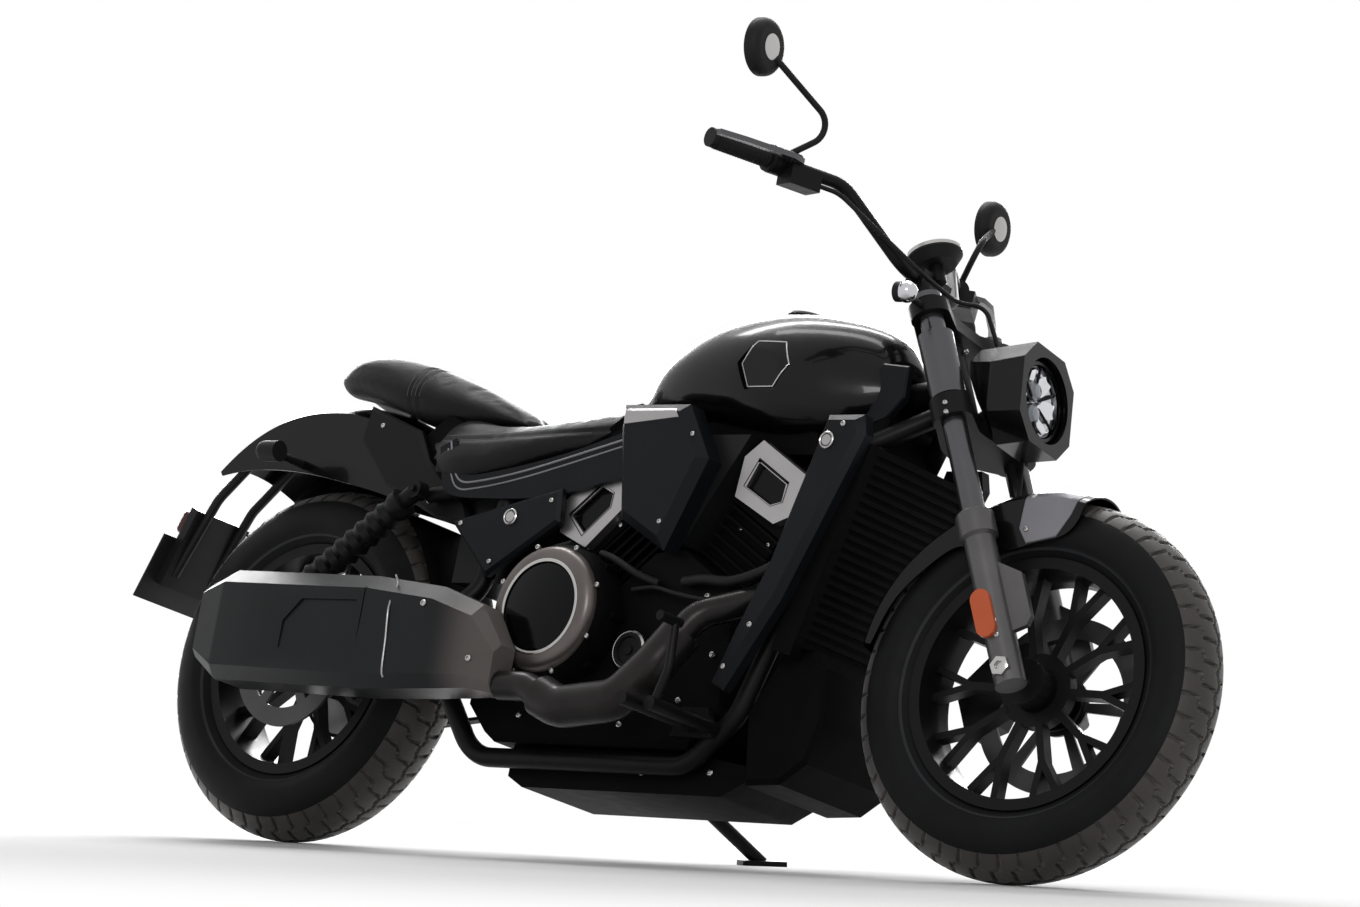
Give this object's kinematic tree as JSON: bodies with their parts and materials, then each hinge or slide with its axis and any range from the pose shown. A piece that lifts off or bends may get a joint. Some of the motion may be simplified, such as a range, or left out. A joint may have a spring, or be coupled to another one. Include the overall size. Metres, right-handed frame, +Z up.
{
  "type": "cruiser motorcycle",
  "caption": "Black cruiser motorcycle leaning on its side stand, with a V engine, low seat, forked cast wheels and a deep side muffler.",
  "frame": {"origin": "on the ground, under the middle of the whole motorcycle seen from above", "axes": "+X forward, +Y to the rider's left, +Z up from the ground; the motorcycle leans to its left on its stand"},
  "size_m": [2.3518, 0.9982, 1.4074],
  "materials": {
    "black_plastic": "matte",
    "bronze_grey": "satin",
    "chrome": "polished",
    "clear_lens": "clear",
    "gloss_black": "gloss",
    "grey_satin": "satin",
    "machined": "machined",
    "matte_black": "matte",
    "orange_plastic": "gloss",
    "red_plastic": "gloss",
    "rubber": "matte",
    "satin_black": "satin",
    "seat_cover": "satin",
    "steel": "brushed",
    "tyre_rubber": "matte",
    "white_plate": "matte"
  },
  "bodies": {
    "chassis": {"airbox_and_battery_box": "black_plastic", "airbox_covers": "grey_satin", "alternator_cover": "satin_black", "belly_pan": "matte_black", "clutch_cover": "bronze_grey", "cylinder_banks": "matte_black", "drive_belt": "rubber", "engine_case": "matte_black", "exhaust_pipe": "bronze_grey", "exhaust_shield": "bronze_grey", "foot_controls": "satin_black", "frame_backbone": "satin_black", "frame_cradle": "satin_black", "fuel_tank": "gloss_black", "head_covers": "grey_satin", "muffler": "matte_black", "number_plate": "white_plate", "pillion_seat": "seat_cover", "plate_arm": "matte_black", "radiator": "matte_black", "radiator_guards": "satin_black", "rear_axle": "steel", "rear_caliper": "matte_black", "rear_fender": "gloss_black", "rear_shocks": "satin_black", "rear_signals": "black_plastic", "rider_seat": "seat_cover", "seat_rails": "satin_black", "side_panels": "satin_black", "swingarm": "satin_black", "tail_covers": "satin_black", "tail_lamp": "red_plastic"},
    "steering": {"bar_housings": "satin_black", "bar_risers": "satin_black", "brake_hose": "rubber", "fork_clamps": "satin_black", "fork_reflectors": "orange_plastic", "fork_sliders": "satin_black", "fork_tubes": "chrome", "front_axle": "steel", "front_caliper": "matte_black", "front_fender": "gloss_black", "front_signals": "black_plastic", "hand_grips": "rubber", "hand_levers": "satin_black", "handlebar": "satin_black", "headlight_cowl": "gloss_black", "headlight_lens": "clear_lens", "headlight_ring": "chrome", "instrument": "black_plastic", "mirrors": "black_plastic"},
    "front_wheel": {"front_brake_disc": "steel", "front_tyre": "tyre_rubber", "front_wheel": "satin_black"},
    "fuel_cap": {"fuel_cap": "satin_black"},
    "rear_wheel": {"rear_brake_disc": "steel", "rear_pulley": "machined", "rear_tyre": "tyre_rubber", "rear_wheel": "satin_black"},
    "side_stand": {"side_stand": "satin_black"}
  },
  "joints": [
    {"name": "steering_turn", "type": "hinge", "parent": "chassis", "child": "steering", "pos_m": [0.6232, -0.05098, 0.70231], "axis": [-0.4369, 0.2022, 0.8765], "range_deg": [-45, 29]},
    {"name": "front_wheel_spin", "type": "hinge", "parent": "steering", "child": "front_wheel", "pos_m": [0.85796, -0.1364, 0.30965], "axis": [-0.1256, 0.9512, -0.282], "continuous": true},
    {"name": "rear_wheel_spin", "type": "hinge", "parent": "chassis", "child": "rear_wheel", "pos_m": [-0.76171, -0.14057, 0.31664], "axis": [-0.0004, 0.9744, -0.225], "continuous": true},
    {"name": "side_stand_fold", "type": "hinge", "parent": "chassis", "child": "side_stand", "pos_m": [0.03793, -0.01871, 0.10958], "axis": [0.0013, 0.682, 0.7314], "range_deg": [0, 100]},
    {"name": "fuel_cap_lift", "type": "slide", "parent": "chassis", "child": "fuel_cap", "axis": [0.0017, 0.225, 0.9744], "range_m": [0, 0.06]}
  ]
}
